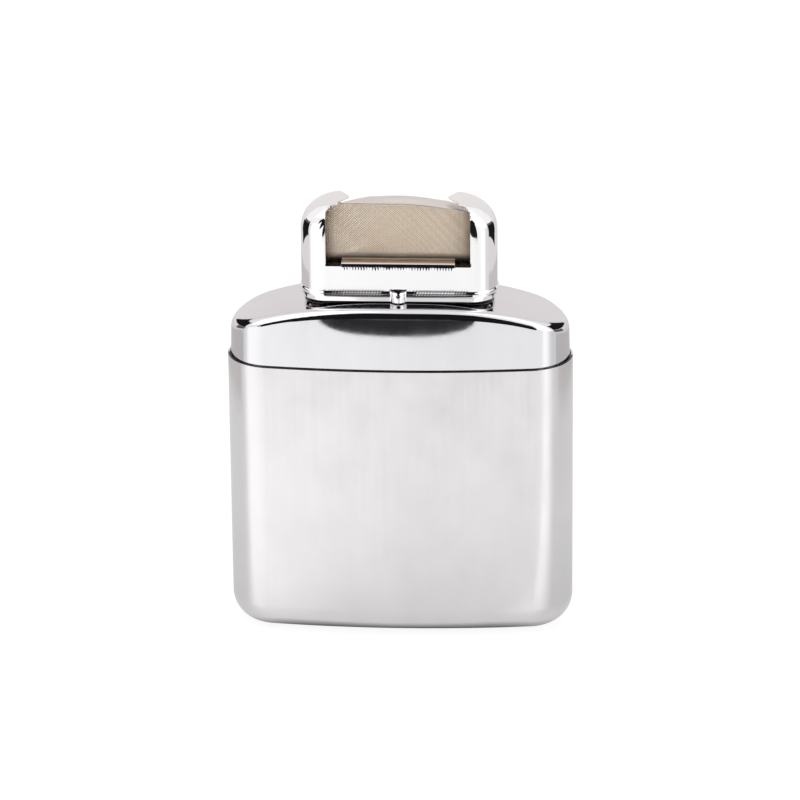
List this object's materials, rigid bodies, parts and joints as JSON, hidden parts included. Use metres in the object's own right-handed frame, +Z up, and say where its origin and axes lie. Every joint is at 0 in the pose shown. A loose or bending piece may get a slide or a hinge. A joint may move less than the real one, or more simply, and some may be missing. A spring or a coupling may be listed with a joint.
{
  "type": "catalytic hand warmer",
  "caption": "Flat pocket flask with a satin lower cup, a polished domed shoulder and a lift-off chromed burner head whose open window holds a gauze-wrapped catalyst pad; no cover.",
  "frame": {"origin": "on the ground under the middle of the flask", "axes": "+Z up through the neck, X along the flask's width, the burner window with the lug faces -Y"},
  "size_m": [0.068, 0.021, 0.0902],
  "materials": {
    "satin_plate": "satin nickel plate with fine handling marks",
    "polished_plate": "polished nickel plate",
    "burner_chrome": "bright chrome plate",
    "neck_plate": "plain plate, slightly dulled by heat",
    "solder": "dull grey solder",
    "inner_steel": "plain tinned sheet",
    "spring_steel": "blued spring strip",
    "gauze": "fine woven wire gauze, straw-coloured from heat",
    "catalyst_fibre": "felted mineral fibre, greyed by the catalyst",
    "felt": "white wool felt",
    "cotton": "loose white cotton"
  },
  "bodies": {
    "tank": {"tank_cup": "satin_plate", "shoulder_shell": "polished_plate", "seam_solder": "solder", "neck_collar": "neck_plate", "neck_solder": "solder", "neck_grille": "inner_steel", "wick_felt": "felt", "cotton_fill": "cotton"},
    "burner": {"burner_shell": "burner_chrome", "burner_socket": "inner_steel", "vapour_plate": "inner_steel", "gauze_screen": "gauze", "catalyst_pad": "catalyst_fibre", "front_grip_spring": "spring_steel", "back_grip_spring": "spring_steel", "spring_rivets": "spring_steel"}
  },
  "joints": [
    {"name": "burner_lift", "type": "slide", "parent": "tank", "child": "burner", "axis": [0, 0, 1], "range_m": [0, 0.025]}
  ]
}
